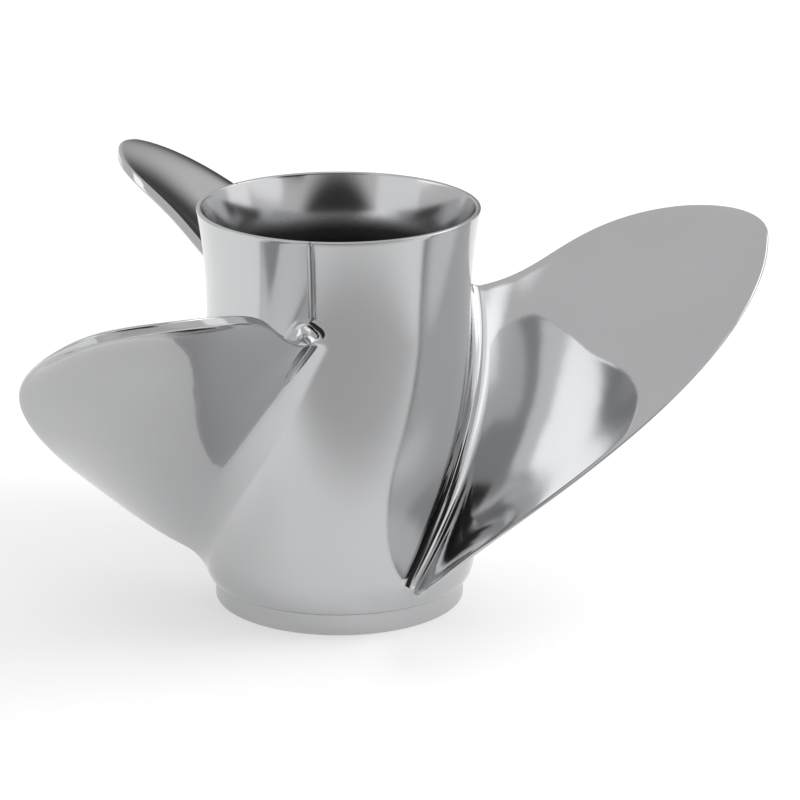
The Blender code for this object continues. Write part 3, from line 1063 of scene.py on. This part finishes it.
class PROPELLER_OT_add_inner_hub(bpy.types.Operator):
    """Add the inner hub and the ribs that carry it"""

    bl_idname = "propeller.add_inner_hub"
    bl_label = "Inner hub"
    bl_options = {"REGISTER", "UNDO"}

    def execute(self, context):
        sizes = settings().core
        corners = [
            Corner(sizes.stop_bore, sizes.hub_top, rounding=1.2 * MM),
            Corner(sizes.hub_radius, sizes.hub_top, rounding=2.0 * MM),
            Corner(sizes.hub_radius, sizes.hub_bottom, rounding=0.8 * MM),
            Corner(sizes.bushing_bore, sizes.hub_bottom, rounding=0.8 * MM),
            Corner(sizes.bushing_bore, sizes.bushing_stop),
            Corner(sizes.stop_bore, sizes.bushing_stop, rounding=0.8 * MM),
        ]
        hub = turned("inner_hub", rounded(corners), TUBE_STEPS)
        for index in range(sizes.rib_count):
            rib = self.rib(sizes.rib_angle + index * math.tau / sizes.rib_count)
            combine(hub, rib, "UNION")
        close_and_smooth(hub)
        hub.data.materials.append(cast_steel())
        finish_piece(hub, "polished_steel", "propeller_casting")
        return {"FINISHED"}

    def rib(self, turn):
        """One rib, wider where it runs into the hub and the barrel."""
        sizes = settings().core
        inner = sizes.hub_radius - RIB_OVERLAP
        outer = bore_radius(sizes.rib_bottom + RIB_GAUGE) + RIB_OVERLAP
        middle = ((inner + outer) / 2, 0.0, (sizes.rib_top + sizes.rib_bottom) / 2)
        deselect_all()
        bpy.ops.mesh.primitive_cube_add(size=1.0, location=middle)
        rib = named("rib")
        rib.scale = (outer - inner, sizes.rib_width, sizes.rib_top - sizes.rib_bottom)
        seat(rib)
        edit_all()
        bpy.ops.mesh.subdivide(number_cuts=RIB_CUTS)
        bpy.ops.object.mode_set(mode="OBJECT")
        for vertex in rib.data.vertices:
            wall = bore_radius(vertex.co.z)
            near = min(vertex.co.x - sizes.hub_radius, wall - vertex.co.x)
            near = min(max(near / RIB_FLARE, 0.0), 1.0)
            widen = 1 - math.sqrt(1 - (1 - near) ** 2)
            vertex.co.y *= 1 + widen * 2 * RIB_FLARE * RIB_SPREAD / sizes.rib_width
            limit = math.sqrt((wall + RIB_BITE) ** 2 - vertex.co.y ** 2)
            vertex.co.x = min(vertex.co.x, limit)
        rib.rotation_euler.z = turn
        seat(rib)
        return rib


class PROPELLER_OT_add_bushing(bpy.types.Operator):
    """Add the rubber bushing between the inner hub and the sleeve"""

    bl_idname = "propeller.add_bushing"
    bl_label = "Rubber bushing"
    bl_options = {"REGISTER", "UNDO"}

    def execute(self, context):
        sizes = settings().core
        outer = sizes.bushing_bore - sizes.fit_gap
        inner = sizes.sleeve_radius + sizes.fit_gap
        top = sizes.bushing_stop - sizes.fit_gap
        bottom = sizes.bushing_bottom
        groove = (outer + inner) / 2
        mouth, foot, deep = 1.6 * MM, 1.0 * MM, bottom + 2.5 * MM
        corners = [
            Corner(inner, top, rounding=0.8 * MM),
            Corner(outer, top, rounding=1.6 * MM),
            Corner(outer, bottom, rounding=1.6 * MM),
            Corner(groove + mouth, bottom, rounding=0.6 * MM),
            Corner(groove + foot, deep, rounding=0.8 * MM),
            Corner(groove - foot, deep, rounding=0.8 * MM),
            Corner(groove - mouth, bottom, rounding=0.6 * MM),
            Corner(inner, bottom, rounding=0.8 * MM),
        ]
        bushing = turned("bushing", rounded(corners), TUBE_STEPS)
        bushing.data.materials.append(moulded_rubber())
        finish_piece(bushing, "rubber", "rubber_bushing")
        return {"FINISHED"}


class PROPELLER_OT_add_sleeve(bpy.types.Operator):
    """Add the brass sleeve with its splined bore"""

    bl_idname = "propeller.add_sleeve"
    bl_label = "Splined sleeve"
    bl_options = {"REGISTER", "UNDO"}

    def execute(self, context):
        sizes = settings().core
        bore = sizes.tooth_tip - BORE_STOCK
        corners = [
            Corner(bore, sizes.sleeve_top),
            Corner(sizes.sleeve_radius, sizes.sleeve_top, rounding=0.8 * MM),
            Corner(sizes.sleeve_radius, sizes.sleeve_bottom, rounding=0.8 * MM),
            Corner(bore, sizes.sleeve_bottom),
        ]
        sleeve = turned("sleeve", rounded(corners), TUBE_STEPS)
        combine(sleeve, self.spline_cutter(), "DIFFERENCE")
        close_and_smooth(sleeve, degrees=30.0)
        sleeve.data.materials.append(turned_brass())
        finish_piece(sleeve, "brass", "splined_sleeve")
        return {"FINISHED"}

    def spline_cutter(self):
        """A shaft with straight splines and a chamfer at both ends of the bore."""
        sizes = settings().core
        start = (0.0, 0.0, sizes.sleeve_bottom - CUTTER_REACH)
        deselect_all()
        bpy.ops.mesh.primitive_circle_add(vertices=sizes.tooth_count * TOOTH_STEPS,
                                          radius=sizes.tooth_root, fill_type="NGON",
                                          location=start)
        cutter = named("spline_cutter")
        pitch = math.tau / sizes.tooth_count
        for vertex in cutter.data.vertices:
            turn = math.atan2(vertex.co.y, vertex.co.x)
            away = abs((turn / pitch) % 1.0 - 0.5)
            flank = min(max((away - TOOTH_TIP_SHARE) / TOOTH_FLANK_SHARE, 0.0), 1.0)
            radius = sizes.tooth_tip + (sizes.tooth_root - sizes.tooth_tip) * flank
            vertex.co.x = radius * math.cos(turn)
            vertex.co.y = radius * math.sin(turn)
        edit_all()
        wide = (sizes.tooth_root + CHAMFER) / sizes.tooth_tip
        middle = sizes.sleeve_top - sizes.sleeve_bottom - 2 * CHAMFER
        bpy.ops.transform.resize(value=(wide, wide, 1.0))
        rings = ((CUTTER_REACH, 1.0), (CHAMFER, 1 / wide), (middle, 1.0), (CHAMFER, wide),
                 (CUTTER_REACH, 1.0))
        for rise, share in rings:
            bpy.ops.mesh.extrude_region_move(TRANSFORM_OT_translate={"value": (0.0, 0.0, rise)})
            bpy.ops.transform.resize(value=(share, share, 1.0))
        bpy.ops.mesh.select_all(action="SELECT")
        bpy.ops.mesh.normals_make_consistent(inside=False)
        bpy.ops.object.mode_set(mode="OBJECT")
        seat(cutter)
        return cutter


class PROPELLER_OT_add_stage(bpy.types.Operator):
    """Add the floor, the studio light and the camera"""

    bl_idname = "propeller.add_stage"
    bl_label = "Stage"
    bl_options = {"REGISTER", "UNDO"}

    def execute(self, context):
        self.add_floor()
        self.light_studio()
        self.add_key_light()
        self.add_camera()
        context.scene.view_settings.view_transform = "Standard"
        return {"FINISHED"}

    def add_floor(self):
        """Pale floor, which is seen from above only and glows with painted light."""
        values = settings()
        base = values.finish.floor
        deselect_all()
        bpy.ops.mesh.primitive_circle_add(vertices=FLOOR_STEPS, radius=FLOOR_RADIUS,
                                          fill_type="NGON", location=(0.0, 0.0, -FLOOR_GAP))
        floor = named("studio_floor")
        seat(floor)
        finish = Finish("studio_floor", base, roughness=0.7, metallic=0.0)
        grain = finish.noise(finish.place(), scale=3.0, detail=3.0)
        finish.set("Base Color", finish.mottled(grain, base, dark=0.985, light=1.015))
        finish.set("Specular IOR Level", 0.2)
        # Painted light: the floor glows fully behind and round the propeller, fades out in front of
        # it, and glows a little more far to the left and far towards the camera
        x, y, _ = finish.parts(finish.place())
        behind = finish.smooth(y - 0.25 * x, low=-0.42, high=-0.24)
        left = finish.smooth(x, low=-0.15, high=-0.35)
        ahead = finish.smooth(y, low=-0.6, high=-1.2)
        glow = 0.75 * behind + 0.2 * left + 0.2 * ahead
        black, white = (0.0, 0.0, 0.0, 1.0), (1.0, 1.0, 1.0, 1.0)
        finish.set("Emission Color", finish.blend(glow, black, white))
        finish.set("Emission Strength", values.stage.floor_glow)
        clear = finish.add("ShaderNodeBsdfTransparent")
        below = finish.add("ShaderNodeNewGeometry", output="Backfacing")
        surface = Value(finish, finish.shader.outputs[0])
        shown = finish.add("ShaderNodeMixShader", None, {0: below, 1: surface, 2: clear})
        finish.fill(finish.tree.nodes["Material Output"].inputs["Surface"], shown)
        floor.data.materials.append(finish.material)

    def light_studio(self):
        """Grey surroundings with the studio's light and dark patches."""
        world = bpy.data.worlds.new("studio")
        bpy.context.scene.world = world
        world.use_nodes = True
        nodes = Nodes(world.node_tree)
        x, y, z = nodes.parts(nodes.add("ShaderNodeTexCoord", output="Generated"))
        front = math.radians(FRONT)
        along = x * math.cos(front) + y * math.sin(front)
        across = y * math.cos(front) - x * math.sin(front)
        turn = nodes.math("ARCTAN2", across, along)
        rise = nodes.math("ARCSINE", z)
        place = nodes.add("ShaderNodeCombineXYZ", None, {0: turn, 1: rise})
        light = nodes.add("ShaderNodeValue")
        light.socket.default_value = settings().stage.surroundings
        for patch in STUDIO:
            light = self.lay_patch(nodes, light, patch, place)
        nodes.fill(world.node_tree.nodes["Background"].inputs["Color"], light)

    def lay_patch(self, nodes, light, patch, place):
        """Blend one patch over the light so far."""
        turn = (patch.direction - FRONT + 180.0) % 360.0 - 180.0
        scale = (1 / math.radians(patch.width), 1 / math.radians(patch.height), 0.0)
        shift = (-turn / patch.width, -patch.rise / patch.height, 0.0)
        away = nodes.vector("MULTIPLY_ADD", place, scale, shift)
        if patch.shape == "box":
            away = nodes.vector("MULTIPLY", away, away)
        away = nodes.vector("DOT_PRODUCT", away, away, output="Value")
        share = nodes.smooth(away, 1.0 + patch.softness, 1.0 - patch.softness)
        return nodes.add("ShaderNodeMix", None, {0: share, 2: light, 3: patch.level})

    def add_key_light(self):
        """Soft light on the right, which lights the floor and leaves no glare in the steel."""
        values = settings().stage
        rise = math.radians(KEY_RISE)
        towards = on_axis(math.cos(rise), math.radians(KEY_DIRECTION), math.sin(rise))
        light = bpy.data.lights.new("key_light", "AREA")
        light.energy = values.key_power
        light.size = values.key_size
        item = linked(light)
        item.location = towards * values.key_distance
        item.rotation_euler = towards.to_track_quat("Z", "Y").to_euler()
        item.visible_glossy = False

    def add_camera(self):
        """Camera at the photograph's angle."""
        values = settings().stage
        aim = Vector(values.aim)
        back = Vector((0.0, -math.cos(values.elevation), math.sin(values.elevation)))
        lens = bpy.data.cameras.new("camera")
        lens.lens = values.lens
        lens.clip_start = 0.05
        lens.clip_end = 50.0
        camera = linked(lens)
        camera.location = aim + back * values.distance
        level = (-back).to_track_quat("-Z", "Y").to_matrix()
        roll = Euler((0.0, 0.0, -values.roll)).to_matrix()
        camera.rotation_euler = (level @ roll).to_euler()
        bpy.context.scene.camera = camera


class PROPELLER_PT_panel(bpy.types.Panel):
    """Lists the settings and the operators"""

    bl_label = "Propeller"
    bl_idname = "PROPELLER_PT_panel"
    bl_space_type = "VIEW_3D"
    bl_region_type = "UI"
    bl_category = "Propeller"

    def draw(self, context):
        values = context.scene.propeller
        for group in (values.barrel, values.blade, values.core, values.finish, values.stage):
            box = self.layout.box()
            for name in group.bl_rna.properties.keys():
                if name not in {"rna_type", "name"}:
                    box.prop(group, name)
        for operator in OPERATORS:
            self.layout.operator(operator.bl_idname)


OPERATORS = (
    PROPELLER_OT_add_stage,
    PROPELLER_OT_add_barrel,
    PROPELLER_OT_add_blades,
    PROPELLER_OT_add_inner_hub,
    PROPELLER_OT_add_bushing,
    PROPELLER_OT_add_sleeve,
)
CLASSES = (
    BarrelSettings,
    BladeSettings,
    CoreSettings,
    FinishSettings,
    StageSettings,
    PropellerSettings,
    *OPERATORS,
    PROPELLER_PT_panel,
)


def register():
    """Register the classes and put the settings on the scene."""
    for item in CLASSES:
        bpy.utils.register_class(item)
    bpy.types.Scene.propeller = PointerProperty(type=PropellerSettings)


def unregister():
    """Take the settings off the scene and unregister the classes."""
    del bpy.types.Scene.propeller
    for item in reversed(CLASSES):
        bpy.utils.unregister_class(item)


def main():
    """Build the stage and the propeller."""
    register()
    bpy.ops.propeller.add_stage()
    bpy.ops.propeller.add_barrel()
    bpy.ops.propeller.add_blades()
    bpy.ops.propeller.add_inner_hub()
    bpy.ops.propeller.add_bushing()
    bpy.ops.propeller.add_sleeve()


if __name__ == "__main__":
    main()
